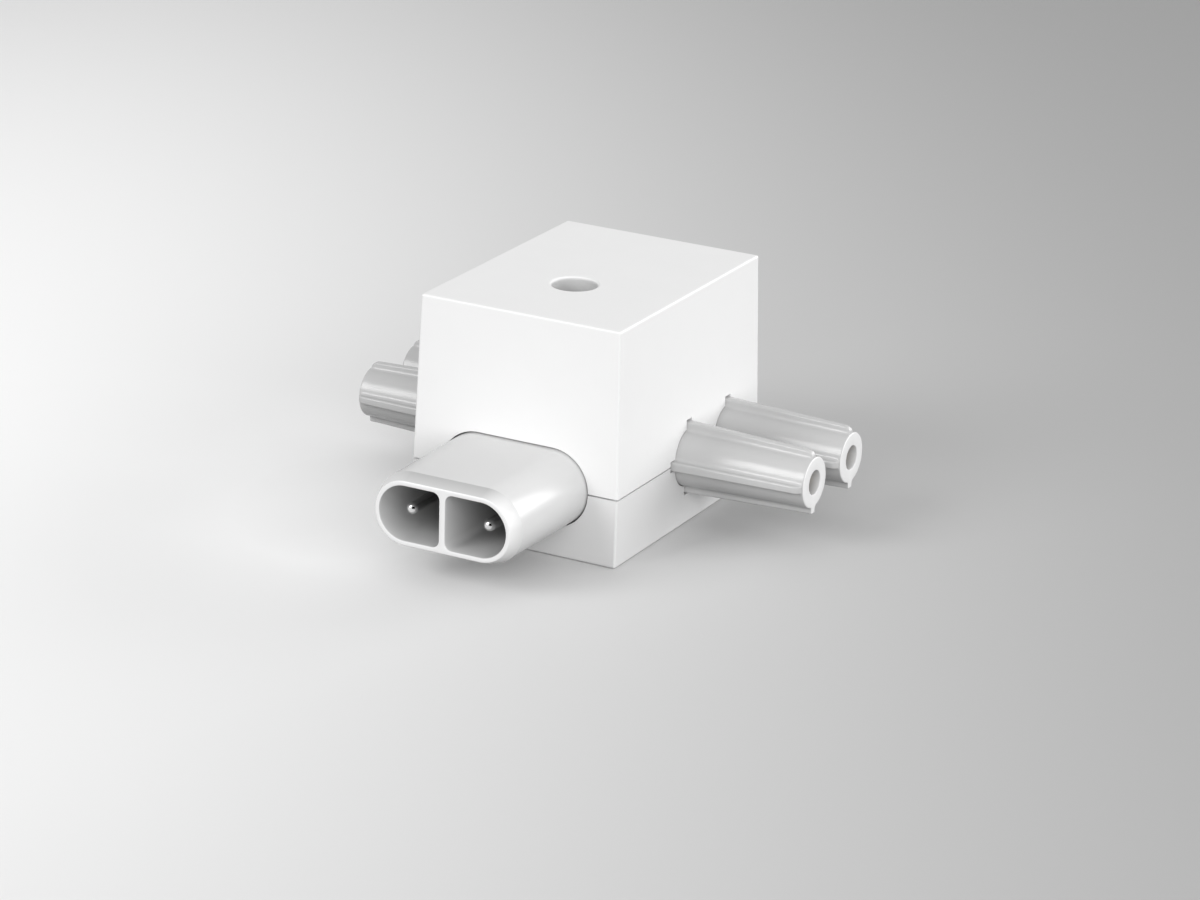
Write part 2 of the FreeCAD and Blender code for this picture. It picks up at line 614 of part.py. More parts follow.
def edges_at(shape, places):
    """The edges along X that pass through any of the given places, each a pair (y, z)."""
    found = []
    for edge in shape.Edges:
        bounds = edge.BoundBox
        if bounds.YLength > BEND_RADIUS / 2 or bounds.ZLength > BEND_RADIUS / 2:
            continue
        if any(math.hypot(bounds.YMin - y, bounds.ZMin - z) < BEND_RADIUS / 2 for y, z in places):
            found.append(edge)
    return found


def cross_strip(y_start, pad_y):
    """A level strip across the casing, with a pad under each contact's tongue at its ends."""
    inner = WALL_X + TONGUE_START - TONGUE_LENGTH
    outer = WALL_X + TONGUE_START - FLANGE_CLEARANCE
    strip = box((-outer, y_start, BUSBAR_Z), (outer, y_start + BUSBAR_WIDTH, TONGUE_Z))
    pads = []
    for side in SIDES.values():
        low, high = sorted((side * inner, side * outer))
        half = TONGUE_WIDTH / 2
        pads.append(box((low, pad_y - half, BUSBAR_Z), (high, pad_y + half, TONGUE_Z)))
    return merged(strip, pads)


def pin_tab(side, z_low, z_high):
    """The upright end of a busbar behind a pin's collar."""
    x = side * PIN_X
    return box((x - TAB_WIDTH / 2, TAB_FACE, z_low), (x + TAB_WIDTH / 2, TAB_BACK, z_high))


def busbar_holes(side, pad_y):
    """The spaces that a pin's tail and two rivets take in a busbar."""
    radius = RIVET_RADIUS + RIVET_FIT
    holes = [
        cylinder(radius, BUSBAR_Z, TONGUE_Z, Z_AXIS, Vector(end * (WALL_X + RIVET_X), pad_y, 0))
        for end in SIDES.values()
    ]
    tail_centre = Vector(side * PIN_X, 0, SEAM_Z)
    return holes + [cylinder(PIN_RADIUS + PIN_FIT, TAB_FACE, TAB_BACK, Y_AXIS, tail_centre)]


def busbar_front():
    """The busbar from the left pin to the two front contacts."""
    side = SIDES["left"]
    top = SEAM_Z + PIN_COLLAR_RADIUS + TAB_MARGIN
    path = [
        (FRONT_STRIP_Y + BUSBAR_WIDTH / 2, TONGUE_Z),
        (TAB_BACK, TONGUE_Z),
        (TAB_BACK, top),
    ]
    run = bent_strip(path, side * RUN_X, RUN_WIDTH)
    tab = pin_tab(side, SEAM_Z - PIN_COLLAR_RADIUS, top)
    strip = cross_strip(FRONT_STRIP_Y, FRONT_PRONG_Y)
    return merged(strip, [run, tab]).cut(busbar_holes(side, FRONT_PRONG_Y))


def busbar_rear():
    """The busbar from the right pin, over the front busbar, to the two rear contacts."""
    side = SIDES["right"]
    low = SEAM_Z - PIN_COLLAR_RADIUS - TAB_MARGIN
    path = [
        (REAR_STRIP_Y + BUSBAR_WIDTH / 2, TONGUE_Z),
        (RISER_Y + BUSBAR_THICKNESS, TONGUE_Z),
        (RISER_Y + BUSBAR_THICKNESS, CROSSING_Z + BUSBAR_THICKNESS),
        (TAB_FACE, CROSSING_Z + BUSBAR_THICKNESS),
        (TAB_FACE, low),
    ]
    run = bent_strip(path, side * RUN_X, RUN_WIDTH)
    tab = pin_tab(side, low, SEAM_Z + PIN_COLLAR_RADIUS)
    strip = cross_strip(REAR_STRIP_Y, REAR_PRONG_Y)
    return merged(strip, [run, tab]).cut(busbar_holes(side, REAR_PRONG_Y))


def insulating_plate():
    """A flat plate on the posts, round the pillar, that carries the rear busbar over the front one."""
    plate = box(
        (-PLATE_HALF_WIDTH, PLATE_FRONT, PLATE_Z),
        (PLATE_HALF_WIDTH, PLATE_BACK, CROSSING_Z),
    )
    hole = cylinder(PILLAR_RADIUS + PLATE_CLEARANCE, PLATE_Z, CROSSING_Z, Z_AXIS, Vector(0, WELL_Y, 0))
    return plate.cut(hole)


def rivet(side, y):
    """A rivet through a contact's tongue and the busbar's pad below it."""
    centre = Vector(side * (WALL_X + RIVET_X), y, 0)
    top = TONGUE_Z + TONGUE_THICKNESS
    shank = cylinder(RIVET_RADIUS, BUSBAR_Z, top, Z_AXIS, centre)
    lower_head = cylinder(RIVET_HEAD_RADIUS, BUSBAR_Z - RIVET_HEAD_LENGTH, BUSBAR_Z, Z_AXIS, centre)
    upper_head = cylinder(RIVET_HEAD_RADIUS, top, top + RIVET_HEAD_LENGTH, Z_AXIS, centre)
    return merged(shank, [lower_head, upper_head])


def casing_screw(x, y):
    """A screw from below, with a flat head in its counterbore and a six-sided socket."""
    centre = Vector(x, y, 0)
    head_top = SCREW_HEAD_SINK + SCREW_HEAD_LENGTH
    head = cylinder(SCREW_HEAD_RADIUS, SCREW_HEAD_SINK, head_top, Z_AXIS, centre)
    shank_end = head_top + SCREW_LENGTH - SCREW_POINT_LENGTH
    shank = cylinder(SCREW_RADIUS, head_top, shank_end, Z_AXIS, centre)
    point_base = centre + Z_AXIS * shank_end
    point = Part.makeCone(SCREW_RADIUS, SCREW_RADIUS / 2, SCREW_POINT_LENGTH, point_base, Z_AXIS)
    corners = []
    for corner in range(SCREW_SOCKET_SIDES):
        angle = 2 * math.pi * corner / SCREW_SOCKET_SIDES
        offset = Vector(math.cos(angle), math.sin(angle), 0) * SCREW_SOCKET_RADIUS
        corners.append(centre + offset + Z_AXIS * SCREW_HEAD_SINK)
    outline = Part.makePolygon(corners + corners[:1])
    socket = Part.Face(outline).extrude(Z_AXIS * SCREW_SOCKET_DEPTH)
    return merged(head, [shank, point]).cut(socket)


def all_nodes():
    """Every piece by the name of its node."""
    nodes = {
        "upper_casing": upper_casing(),
        "lower_casing": lower_casing(),
        "inlet_shroud": inlet_shroud(),
        "busbar_front": busbar_front(),
        "busbar_rear": busbar_rear(),
        "insulating_plate": insulating_plate(),
        "casing_screws": Part.makeCompound([casing_screw(x, y) for x, y in BOSS_PLACES]),
    }
    rivets = []
    for side_name, side in SIDES.items():
        nodes["inlet_pin_" + side_name] = inlet_pin(side)
        for row_name, y in PRONG_YS.items():
            place = row_name + "_" + side_name
            partner = 1 if row_name == "front" else -1
            nodes["prong_" + place] = on_side(prong(partner * side), side, y)
            nodes["socket_contact_" + place] = on_side(socket_contact(), side, y)
            nodes["spring_ring_" + place] = on_side(spring_ring(), side, y)
            rivets.append(rivet(side, y))
    nodes["busbar_rivets"] = Part.makeCompound(rivets)
    return nodes


os.makedirs("parts", exist_ok=True)
for name, shape in all_nodes().items():
    shape.exportStep("parts/" + name + ".step")
    print(name, "solids", len(shape.Solids), "valid", shape.isValid(), "volume", round(shape.Volume, 1))
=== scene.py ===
import logging
import math
from dataclasses import dataclass
from enum import Enum
from functools import cache
from typing import Any, Callable, Iterable, Protocol

import bmesh
import bpy
from bmesh.types import BMEdge, BMesh, BMVert
from mathutils import Matrix, Vector


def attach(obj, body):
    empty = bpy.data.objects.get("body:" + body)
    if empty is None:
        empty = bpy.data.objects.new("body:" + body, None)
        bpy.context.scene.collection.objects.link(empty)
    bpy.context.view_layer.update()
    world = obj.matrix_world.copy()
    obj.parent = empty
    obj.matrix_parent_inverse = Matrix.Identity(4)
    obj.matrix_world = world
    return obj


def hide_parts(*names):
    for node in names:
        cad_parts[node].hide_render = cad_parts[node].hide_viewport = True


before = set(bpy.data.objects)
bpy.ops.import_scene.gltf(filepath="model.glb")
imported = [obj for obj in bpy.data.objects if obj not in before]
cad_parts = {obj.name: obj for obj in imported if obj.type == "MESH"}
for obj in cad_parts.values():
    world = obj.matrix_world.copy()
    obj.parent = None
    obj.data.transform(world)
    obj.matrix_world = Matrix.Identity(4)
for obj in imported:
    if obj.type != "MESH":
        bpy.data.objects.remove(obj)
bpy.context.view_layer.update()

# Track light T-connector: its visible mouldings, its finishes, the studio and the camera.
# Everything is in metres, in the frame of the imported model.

log = logging.getLogger("connector")

# A millimetre, the distance up to which two points count as one, and a right angle
MM = 0.001
CLOSE = 0.001 * MM
QUARTER_TURN = math.pi / 2

# The casing: half its width, its front face, its parting line and its fixing well
HALF_WIDTH = 15.0 * MM
FRONT = -20.0 * MM
SEAM = 9.35 * MM
WELL_Y = -5.0 * MM
WELL_RADIUS = 2.97 * MM

# Values that a mesh carries for its finish: where painted shade goes, and where the rims stay free of it
DEPTH_INSIDE = "depth_inside"
UNSHADED_RIM = "unshaded_rim"
SHADED_NOSE = "worn"

Colour = tuple[float, float, float]
Triple = tuple[float, float, float]
Line = list[BMEdge]
Move = Callable[[Vector], Vector]
BLACK: Colour = (0.0, 0.0, 0.0)
WHITE: Colour = (1.0, 1.0, 1.0)


class Side(Enum):
    """The side of the casing that a piece stands on, with its direction along X."""

    LEFT = -1
    RIGHT = 1


class Row(Enum):
    """The row of socket prongs, with the place of its axis along Y in millimetres."""

    FRONT = -0.25
    REAR = 10.85


def place_of(row: Row, side: Side) -> str:
    """A prong's row and side in words, as the nodes are named."""
    return f"{row.name.lower()}_{side.name.lower()}"


# Shader building


@dataclass(frozen=True)
class Value:
    """A shader value that takes part in Python arithmetic, where each operation adds a Math node."""

    graph: "Graph"
    socket: bpy.types.NodeSocket

    def __add__(self, other: Any) -> "Value":
        """The sum."""
        return self.graph.maths("ADD", self, other)

    def __radd__(self, other: Any) -> "Value":
        """The sum, with the number first."""
        return self.graph.maths("ADD", other, self)

    def __sub__(self, other: Any) -> "Value":
        """The difference."""
        return self.graph.maths("SUBTRACT", self, other)

    def __rsub__(self, other: Any) -> "Value":
        """The difference, with the number first."""
        return self.graph.maths("SUBTRACT", other, self)

    def __mul__(self, other: Any) -> "Value":
        """The product."""
        return self.graph.maths("MULTIPLY", self, other)

    def __pow__(self, other: Any) -> "Value":
        """The power."""
        return self.graph.maths("POWER", self, other)

    def spread(self, reach: float) -> "Value":
        """The change that a random value about 0.5 makes to something, up to half the reach each way."""
        return (self - 0.5) * reach


class Graph:
    """The node tree of a material or of the world, empty at first."""

    def __init__(self, owner: bpy.types.Material | bpy.types.World) -> None:
        """Takes over the owner's node tree.

        Args:
            owner: The material or world.
        """
        owner.use_nodes = True
        self.tree = owner.node_tree
        self.tree.nodes.clear()

    def add(
        self,
        kind: str,
        settings: dict[str, Any] | None = None,
        inputs: dict[int | str, Any] | None = None,
        output: int | str = 0,
    ) -> Value | None:
        """Adds a node of any type.

        Args:
            kind: The node's type.
            settings: Its own settings by name.
            inputs: A value or a plain number, colour or vector for each input socket.
            output: The output socket that is wanted.

        Returns:
            That output, or none for a node that ends the tree.
        """
        node = self.tree.nodes.new(kind)
        for name, setting in (settings or {}).items():
            setattr(node, name, setting)
        for key, given in (inputs or {}).items():
            socket = self._find(node.inputs, key)
            if isinstance(given, Value):
                self.tree.links.new(given.socket, socket)
            else:
                socket.default_value = given
        return Value(self, self._find(node.outputs, output)) if node.outputs else None

    @staticmethod
    def _find(sockets: Iterable[bpy.types.NodeSocket], key: int | str) -> bpy.types.NodeSocket:
        """Picks a socket.

        Args:
            sockets: A node's inputs or outputs.
            key: The socket's number, identifier or name.

        Returns:
            The socket.
        """
        if isinstance(key, int):
            return sockets[key]
        return next(socket for socket in sockets if key in (socket.identifier, socket.name))

    def maths(self, operation: str, *terms: Any) -> Value:
        """The result of a Math node, from its operation and its values or numbers in order."""
        return self.add("ShaderNodeMath", {"operation": operation}, dict(enumerate(terms)))

    def place(self) -> Value:
        """The point on the surface, in the object's own coordinates."""
        return self.add("ShaderNodeTexCoord", output="Object")

    def stretched(self, factors: Triple) -> Value:
        """The point on the surface, scaled by a factor along each axis."""
        inputs = {"Vector": self.place(), "Scale": factors}
        return self.add("ShaderNodeMapping", {"vector_type": "POINT"}, inputs)

    def measured_from(self, centre: Triple, turn: float, reach: Triple) -> Value:
        """The point on the surface, measured from a centre along turned axes.

        Args:
            centre: The centre.
            turn: How far the axes are turned about Z, in radians.
            reach: The length that counts as 1 on each axis.

        Returns:
            The measured point.
        """
        inputs = {
            "Vector": self.place(),
            "Location": centre,
            "Rotation": (0.0, 0.0, turn),
            "Scale": reach,
        }
        return self.add("ShaderNodeMapping", {"vector_type": "TEXTURE"}, inputs)

    def attribute(self, name: str) -> Value:
        """A value that the mesh carries under some name, or 0 where it carries none."""
        return self.add("ShaderNodeAttribute", {"attribute_name": name}, output="Fac")

    def seen(self) -> Value:
        """Whether the point is looked at, straight, in a mirror or through glass.

        Returns:
            1 if so, otherwise 0.
        """
        rays = ("Is Camera Ray", "Is Glossy Ray", "Is Transmission Ray")
        straight, mirrored, through = (self.add("ShaderNodeLightPath", output=ray) for ray in rays)
        return self.maths("MAXIMUM", self.maths("MAXIMUM", straight, mirrored), through)

    def noise(self, size: float, detail: float = 2.0, point: Value | None = None) -> Value:
        """Soft random unevenness.

        Args:
            size: The width of its patches in metres.
            detail: How many finer layers it has.
            point: The point to read it at, or none for the surface's own.

        Returns:
            A value about 0.5.
        """
        inputs = {"Vector": point or self.place(), "Scale": 1 / size, "Detail": detail}
        return self.add("ShaderNodeTexNoise", inputs=inputs, output="Fac")

    def soft_step(self, value: Value, start: float, end: float, top: float = 1.0) -> Value:
        """A step with soft ends.

        Args:
            value: The value that it follows.
            start: Where it leaves 0.
            end: Where it reaches its top.
            top: Its height.

        Returns:
            The step.
        """
        settings = {"interpolation_type": "SMOOTHSTEP"}
        inputs = {"Value": value, "From Min": start, "From Max": end, "To Min": 0.0, "To Max": top}
        return self.add("ShaderNodeMapRange", settings, inputs)

    def mix(self, share: Value, first: Colour, second: Colour) -> Value:
        """A colour between two.

        Args:
            share: 0 for the first, 1 for the second.
            first: The first colour.
            second: The second colour.

        Returns:
            The mixed colour.
        """
        inputs = {"Factor_Float": share, "A_Color": (*first, 1.0), "B_Color": (*second, 1.0)}
        return self.add("ShaderNodeMix", {"data_type": "RGBA"}, inputs, "Result_Color")

    def bump(self, height: Value) -> Value:
        """A normal that follows a height in metres."""
        return self.add("ShaderNodeBump", inputs={"Strength": 1.0, "Distance": 1.0, "Height": height})

    def surface(self, inputs: dict[int | str, Any]) -> None:
        """Adds the shader of a surface, with what its sockets get, and its output."""
        shader = self.add("ShaderNodeBsdfPrincipled", inputs=inputs)
        self.add("ShaderNodeOutputMaterial", inputs={"Surface": shader})


# Finishes


class Finish(Protocol):
    """What every finish has."""

    @property
    def name(self) -> str:
        """The material's name."""

    def paint(self, graph: Graph) -> None:
        """Builds the shader in a material's empty node tree."""


@dataclass(frozen=True)
class MouldedPlastic:
    """Injection-moulded plastic with a fine spark-eroded grain over a slow unevenness of the mould.

    Away from its rims it gets painted shade, so the rims look lighter than the sides behind them. Deep
    insides get painted shade, as does the cover's fixing well. On the shroud's nose it is smoother and
    has painted shade.
    """

    name: str
    colour: Colour
    roughness: float = 0.42
    ior: float = 1.49
    grain_size: float = 0.22 * MM
    grain_depth: float = 0.0006 * MM
    grain_spread: float = 0.03
    wave_size: float = 7.0 * MM
    wave_depth: float = 0.012 * MM
    cloud_size: float = 5.0 * MM
    cloud_share: float = 0.02
    cloud_spread: float = 0.08
    side_shade_share: float = 0.0
    depth_shade_share: float = 0.0
    depth_shade_power: float = 0.25
    worn_share: float = 0.0
    worn_polish: float = 0.04
    well_shade_share: float = 0.0
    well_edge: float = 1.05

    def paint(self, graph: Graph) -> None:
        """Builds the shader.

        Args:
            graph: The material's empty node tree.
        """
        grain = graph.noise(self.grain_size, detail=1.0)
        wave = graph.noise(self.wave_size, detail=1.0)
        cloud = graph.noise(self.cloud_size, detail=3.0)
        # Painted shade on the shroud's nose, where the surface is also a little smoother
        worn = graph.attribute(SHADED_NOSE)
        # Painted shade that grows with the depth inside a hollow
        deep = graph.attribute(DEPTH_INSIDE) ** self.depth_shade_power
        # Painted shade on the sides away from the rims, on top of a random cloudy tone
        shade = cloud * self.cloud_share + (1 - graph.attribute(UNSHADED_RIM)) * self.side_shade_share
        shade = shade + worn * self.worn_share + deep * self.depth_shade_share
        # Painted shade in the cover's fixing well
        if self.well_shade_share:
            shade = shade + self._in_well(graph) * self.well_shade_share
        roughness = self.roughness + grain.spread(self.grain_spread) + cloud.spread(self.cloud_spread)
        graph.surface(
            {
                "Base Color": graph.mix(shade, self.colour, BLACK),
                "Roughness": roughness - worn * self.worn_polish,
                "IOR": self.ior,
                "Normal": graph.bump(grain * self.grain_depth + wave * self.wave_depth),
            }
        )

    def _in_well(self, graph: Graph) -> Value:
        """Whether a point lies in the fixing well of the cover, below its rounded rim, where painted
        shade goes.

        Args:
            graph: The material's node tree.

        Returns:
            1 on the well's wall, falling to 0 over the rim.
        """
        point = graph.measured_from((0.0, WELL_Y, 0.0), 0.0, (WELL_RADIUS, WELL_RADIUS, 1.0))
        across = {0: point, 1: (1.0, 1.0, 0.0)}
        flat = graph.add("ShaderNodeVectorMath", {"operation": "MULTIPLY"}, across)
        reach = graph.add("ShaderNodeVectorMath", {"operation": "LENGTH"}, {0: flat}, "Value")
        return graph.soft_step(reach, self.well_edge, 1.0)


@dataclass(frozen=True)
class TurnedMetal:
    """Turned, plated metal with faint tool marks round its axis and a few dull patches."""

    name: str
    colour: Colour
    roughness: float
    mark_size: float = 0.12 * MM
    mark_stretch: Triple = (0.04, 1.0, 0.04)
    mark_depth: float = 0.0004 * MM
    mark_spread: float = 0.1
    patch_size: float = 1.6 * MM
    patch_share: float = 0.12
    patch_spread: float = 0.12

    def paint(self, graph: Graph) -> None:
        """Builds the shader.

        Args:
            graph: The material's empty node tree.
        """
        marks = graph.noise(self.mark_size, point=graph.stretched(self.mark_stretch))
        patch = graph.noise(self.patch_size, detail=4.0)
        roughness = self.roughness + marks.spread(self.mark_spread) + patch.spread(self.patch_spread)
        graph.surface(
            {
                "Base Color": graph.mix((1 - patch) * self.patch_share, self.colour, BLACK),
                "Metallic": 1.0,
                "Roughness": roughness,
                "Normal": graph.bump(marks * self.mark_depth),
            }
        )


@dataclass(frozen=True)
class StampedMetal:
    """Sheet or wire metal with rolling marks along X, tarnished in patches."""

    name: str
    colour: Colour
    tarnish: Colour
    roughness: float
    line_size: float = 0.1 * MM
    line_stretch: Triple = (0.05, 1.0, 1.0)
    line_depth: float = 0.0006 * MM
    line_spread: float = 0.14
    patch_size: float = 2.4 * MM
    patch_start: float = 0.5
    patch_end: float = 0.75
    patch_share: float = 0.6
    patch_dullness: float = 0.12

    def paint(self, graph: Graph) -> None:
        """Builds the shader.

        Args:
            graph: The material's empty node tree.
        """
        lines = graph.noise(self.line_size, point=graph.stretched(self.line_stretch))
        patch = graph.noise(self.patch_size, detail=4.0)
        spots = graph.soft_step(patch, self.patch_start, self.patch_end, self.patch_share)
        roughness = self.roughness + lines.spread(self.line_spread) + spots * self.patch_dullness
        graph.surface(
            {
                "Base Color": graph.mix(spots, self.colour, self.tarnish),
                "Metallic": 1.0,
                "Roughness": roughness,
                "Normal": graph.bump(lines * self.line_depth),
            }
        )


@dataclass(frozen=True)
class PressedFibre:
    """A pressed fibre sheet, speckled, with a matt and slightly rough face."""

    name: str
    colour: Colour
    fleck: Colour
    roughness: float = 0.7
    strand_size: float = 0.35 * MM
    strand_stretch: Triple = (0.35, 1.0, 1.0)
    strand_depth: float = 0.006 * MM
    strand_spread: float = 0.2

    def paint(self, graph: Graph) -> None:
        """Builds the shader.

        Args:
            graph: The material's empty node tree.
        """
        strands = graph.noise(self.strand_size, detail=4.0, point=graph.stretched(self.strand_stretch))
        graph.surface(
            {
                "Base Color": graph.mix(strands, self.colour, self.fleck),
                "Roughness": self.roughness + strands.spread(self.strand_spread),
                "Normal": graph.bump(strands * self.strand_depth),
            }
        )


# The cover's well and the inlet's and prongs' sides, insides and nose get painted shade through the
# shares below
COVER_WHITE = MouldedPlastic("cover_white", (0.8, 0.8, 0.8), well_shade_share=0.3)
TRAY_WHITE = MouldedPlastic("tray_white", (0.74, 0.74, 0.74))
INLET_WHITE = MouldedPlastic(
    "inlet_white", (0.78, 0.78, 0.78), roughness=0.245, ior=1.55, grain_depth=0.0003 * MM,
    side_shade_share=0.17, depth_shade_share=0.53, worn_share=0.28,
)
PRONG_WHITE = MouldedPlastic(
    "prong_white", (0.78, 0.78, 0.78), roughness=0.24, ior=1.58, grain_depth=0.0003 * MM,
    side_shade_share=0.36, depth_shade_share=0.3,
)
PIN_PLATING = TurnedMetal("pin_plating", (0.82, 0.82, 0.82), roughness=0.12)
CONTACT_BRASS = StampedMetal("contact_brass_finish", (0.78, 0.6, 0.32), (0.5, 0.36, 0.18), roughness=0.3)
SPRING_STEEL = StampedMetal("spring_steel_finish", (0.6, 0.6, 0.61), (0.4, 0.38, 0.36), roughness=0.28)
SCREW_STEEL = StampedMetal("screw_steel_finish", (0.66, 0.66, 0.67), (0.42, 0.41, 0.4), roughness=0.32)
PLATE_FIBRE = PressedFibre("plate_fibre", (0.5, 0.44, 0.34), (0.34, 0.28, 0.2))


@cache
def material_of(finish: Finish) -> bpy.types.Material:
    """The material of a finish, made once.

    Args:
        finish: The finish.

    Returns:
        The material.
    """
    material = bpy.data.materials.new(finish.name)
    finish.paint(Graph(material))
    return material


# Mesh building

# Digits that tell places apart, the least cosine for a mitre, the least angle at an edge in radians
SPOT_DIGITS = 8
MITRE_LIMIT = 0.5
CLEAR_FOLD = 0.5


def turns(steps: int) -> list[float]:
    """The angles from 0 to a quarter turn, in equal steps."""
    return [QUARTER_TURN * step / steps for step in range(steps + 1)]


def extruded(mesh: BMesh, edges: Line, move: Move) -> Line:
    """Extrudes a line of edges and moves its new points.

    Args:
        mesh: The mesh.
        edges: The edges to extrude.
        move: Gives the new place of a point from its old one.

    Returns:
        The edges at the far side of the new faces.
    """
    made = bmesh.ops.extrude_edge_only(mesh, edges=edges)["geom"]
    points = {item for item in made if isinstance(item, BMVert)}
    for point in points:
        point.co = move(point.co)
    return [item for item in made if isinstance(item, BMEdge) and set(item.verts) <= points]


def led(mesh: BMesh, line: Line, moves: Iterable[Move]) -> Line:
    """Extrudes a line of edges several times.

    Args:
        mesh: The mesh.
        line: The edges to start from.
        moves: Where the points go, one move after the other.

    Returns:
        The edges at the far side of the last faces.
    """
    for move in moves:
        line = extruded(mesh, line, move)
    return line


def on_circle(radius: float, z: float, centre_x: float = 0.0) -> Move:
    """A move that puts each point on a circle round an axis along Z, at its own angle.

    Args:
        radius: The circle's radius.
        z: Its height.
        centre_x: Where its axis stands along X.

    Returns:
        The move.
    """
    def move(point: Vector) -> Vector:
        """One point's new place."""
        out = Vector((point.x - centre_x, point.y, 0)).normalized() * radius
        return Vector((centre_x + out.x, out.y, z))
    return move


def shrinking(line: Line, distance: float, z: float) -> Move:
    """A move that draws a closed flat line inwards, square to its edges.

    Args:
        line: The edges, once round the Z axis.
        distance: How far each edge goes inwards.
        z: The new height.

    Returns:
        The move, for points of that line.
    """
    shifts = {}
    for point in {point for edge in line for point in edge.verts}:
        sides = [edge.other_vert(point) for edge in point.link_edges if edge in line]
        inwards = []
        for other in sides:
            along = (other.co - point.co).xy.normalized()
            square = along.orthogonal()
            inwards.append(-square if square.dot(point.co.xy) > 0 else square)
        middle = (inwards[0] + inwards[1]).normalized()
        shifts[spot(point.co)] = middle * distance / max(middle.dot(inwards[0]), MITRE_LIMIT)

    def move(point: Vector) -> Vector:
        """One point's new place."""
        shift = shifts[spot(point)]
        return Vector((point.x + shift.x, point.y + shift.y, z))
    return move


def spot(point: Vector) -> tuple[float, float]:
    """A point's X and Y, rounded so that equal places compare equal."""
    return round(point.x, SPOT_DIGITS), round(point.y, SPOT_DIGITS)


def rounded(mesh: BMesh, parts: list[BMVert] | Line, radius: float, steps: int) -> None:
    """Rounds corners of a flat outline, or edges of a solid.

    Args:
        mesh: The mesh.
        parts: The corners or the edges.
        radius: How far the rounding reaches from each.
        steps: How many edges or faces each rounding gets.
    """
    affect = "VERTICES" if isinstance(parts[0], BMVert) else "EDGES"
    bmesh.ops.bevel(
        mesh, geom=parts, offset=radius, offset_type="OFFSET", affect=affect,
        segments=steps, profile=0.5, material=-1,
    )


def sheet(size: float) -> BMesh:
    """A flat square round the origin, of that width."""
    mesh = bmesh.new()
    bmesh.ops.create_grid(mesh, x_segments=1, y_segments=1, size=size / 2)
    return mesh


def merged(mesh: BMesh) -> None:
    """Merges doubled points."""
    bmesh.ops.remove_doubles(mesh, verts=mesh.verts, dist=CLOSE)


def closed(mesh: BMesh) -> None:
    """Merges doubled points and turns all faces outwards."""
    merged(mesh)
    bmesh.ops.recalc_face_normals(mesh, faces=mesh.faces)


def stored(mesh: BMesh, name: str, rule: Callable[[Vector], float]) -> None:
    """Stores a value at each point of a mesh, for the finish to read.

    Args:
        mesh: The mesh.
        name: The value's name.
        rule: Gives the value from the point's place.
    """
    layer = mesh.verts.layers.float.new(name)
    for point in mesh.verts:
        point[layer] = rule(point.co)


def stored_at_corners(mesh: BMesh, name: str, rule: Callable[[Vector, Vector], float]) -> None:
    """Stores a value at each corner of each face, so that it may jump from one face to the next.

    Args:
        mesh: The mesh.
        name: The value's name.
        rule: Gives the value from the middle of the face and the corner's place.
    """
    layer = mesh.loops.layers.float.new(name)
    for face in mesh.faces:
        middle = face.calc_center_median()
        for corner in face.loops:
            corner[layer] = rule(middle, corner.vert.co)


def added(name: str, data: bpy.types.ID) -> bpy.types.Object:
    """Adds an object to the scene.

    Args:
        name: The object's name.
        data: Its mesh, lamp or camera.

    Returns:
        The object.
    """
    thing = bpy.data.objects.new(name, data)
    bpy.context.scene.collection.objects.link(thing)
    return thing


def object_from(mesh: BMesh, name: str, finish: Finish) -> bpy.types.Object:
    """Makes a shown object from a finished mesh.

    Args:
        mesh: The mesh, in place in the model's frame. It is freed.
        name: The object's name.
        finish: Its finish.

    Returns:
        The object.
    """
    data = bpy.data.meshes.new(name)
    mesh.to_mesh(data)
    mesh.free()
    data.materials.append(material_of(finish))
    return added(name, data)


def piece_from(mesh: BMesh, name: str, finish: Finish, crease: float = 40.0) -> bpy.types.Object:
    """Makes a piece of the part from a finished mesh, smooth but for its clear corners.

    Args:
        mesh: The mesh, in place in the model's frame. It is freed.
        name: The piece's name.
        finish: Its finish.
        crease: The angle in degrees from which a corner stays sharp.

    Returns:
        The piece.
    """
    piece = object_from(mesh, name, finish)
    piece.data.shade_smooth()
    piece.data.set_sharp_from_angle(angle=math.radians(crease))
    weights = piece.modifiers.new("face_weights", "WEIGHTED_NORMAL")
    weights.keep_sharp = True
    log.info("piece %s: %d faces", name, len(piece.data.polygons))
    return piece


def stand_in(piece: bpy.types.Object, node: str) -> None:
    """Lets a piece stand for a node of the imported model.

    Args:
        piece: The piece.
        node: The node's name.
    """
    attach(piece, "root")
    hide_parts(node)


# Sub-assemblies


